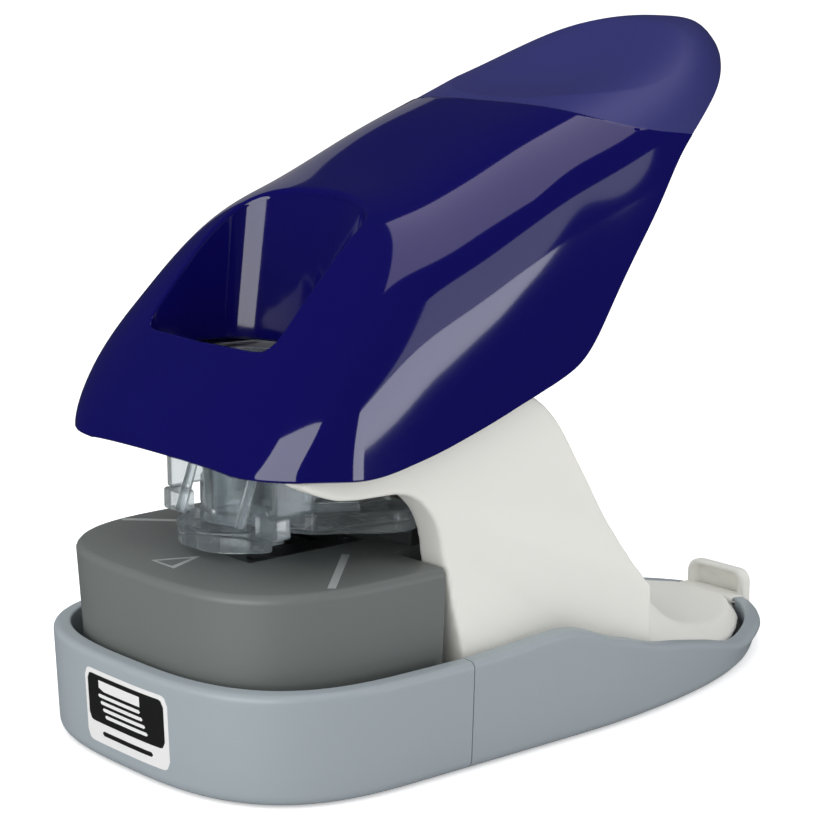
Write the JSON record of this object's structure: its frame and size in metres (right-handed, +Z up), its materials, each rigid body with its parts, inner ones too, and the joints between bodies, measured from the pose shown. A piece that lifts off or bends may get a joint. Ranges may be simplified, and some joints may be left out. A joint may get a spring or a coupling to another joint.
{
  "type": "staple-free stapler",
  "caption": "Desktop lever stapler of the staple-free kind, with a front-hinged blue handle, white arm, clear presser, grey paper table and grey base.",
  "frame": {"origin": "on the floor plane, at the middle of the base outline", "axes": "+Z up, +Y towards the tail, the paper goes in from -Y, +X to the right of someone looking along +Y"},
  "size_m": [0.0702, 0.1349, 0.1106],
  "materials": {
    "cover_blue": "high gloss moulded",
    "arm_white": "fine satin moulded",
    "base_grey": "fine satin moulded",
    "table_grey": "fine textured",
    "liner_black": "matte",
    "clear": "clear moulded polycarbonate",
    "rubber": "matte",
    "steel_plate": "zinc plated sheet",
    "steel_pin": "ground",
    "die_steel": "blackened",
    "brass": "sintered",
    "carriage_black": "glass-filled",
    "spring_wire": "drawn wire",
    "label": "printed film"
  },
  "bodies": {
    "base": {"base_front": "base_grey", "base_rear": "base_grey", "bottom_plate": "liner_black", "rubber_feet": "rubber", "base_screws": "steel_plate", "paper_table": "table_grey", "die_plate": "die_steel", "back_stops": "liner_black", "tucker_bracket": "steel_plate", "tucker_pin": "steel_pin", "tucker_spring": "spring_wire", "arm_housing": "arm_white", "chassis": "steel_plate", "throat_liner": "liner_black", "guide_posts": "steel_pin", "pivot_pins": "steel_pin", "pivot_clips": "die_steel", "info_label": "label", "release_pin": "steel_pin"},
    "release": {"release_tab": "arm_white"},
    "handle": {"handle_cover": "cover_blue", "lever_frame": "steel_plate", "handle_screws": "steel_plate", "pivot_bushes": "brass"},
    "carriage": {"punch_carriage": "carriage_black", "drive_pin": "steel_pin", "tongue_cutter": "die_steel", "slit_blade": "die_steel", "cutter_screws": "steel_plate", "return_springs": "spring_wire", "presser_springs": "spring_wire"},
    "presser": {"clear_presser": "clear"},
    "tucker": {"tuck_finger": "steel_plate"}
  },
  "joints": [
    {"name": "handle_hinge", "type": "hinge", "parent": "base", "child": "handle", "pos_m": [0, -0.046, 0.055], "axis": [-1, 0, 0], "range_deg": [0, 25]},
    {"name": "carriage_slide", "type": "slide", "parent": "base", "child": "carriage", "axis": [0, 0, -1], "range_m": [0, 0.0105], "deforming": ["return_springs", "presser_springs"]},
    {"name": "presser_slide", "type": "slide", "parent": "base", "child": "presser", "axis": [0, 0, -1], "range_m": [0, 0.0011]},
    {"name": "tucker_hinge", "type": "hinge", "parent": "base", "child": "tucker", "pos_m": [0, -0.042, 0.0175], "axis": [-1, 0, 0], "range_deg": [0, 25]},
    {"name": "release_hinge", "type": "hinge", "parent": "base", "child": "release", "pos_m": [0, 0.0626, 0.0042], "axis": [1, 0, 0], "range_deg": [0, 12]}
  ],
  "couplings": [
    {"joint": "carriage_slide", "follows": "handle_hinge", "m_per_rad": 0.024},
    {"joint": "presser_slide", "follows": "handle_hinge", "m_per_rad": 0.0025},
    {"joint": "tucker_hinge", "follows": "handle_hinge", "ratio": 1}
  ]
}
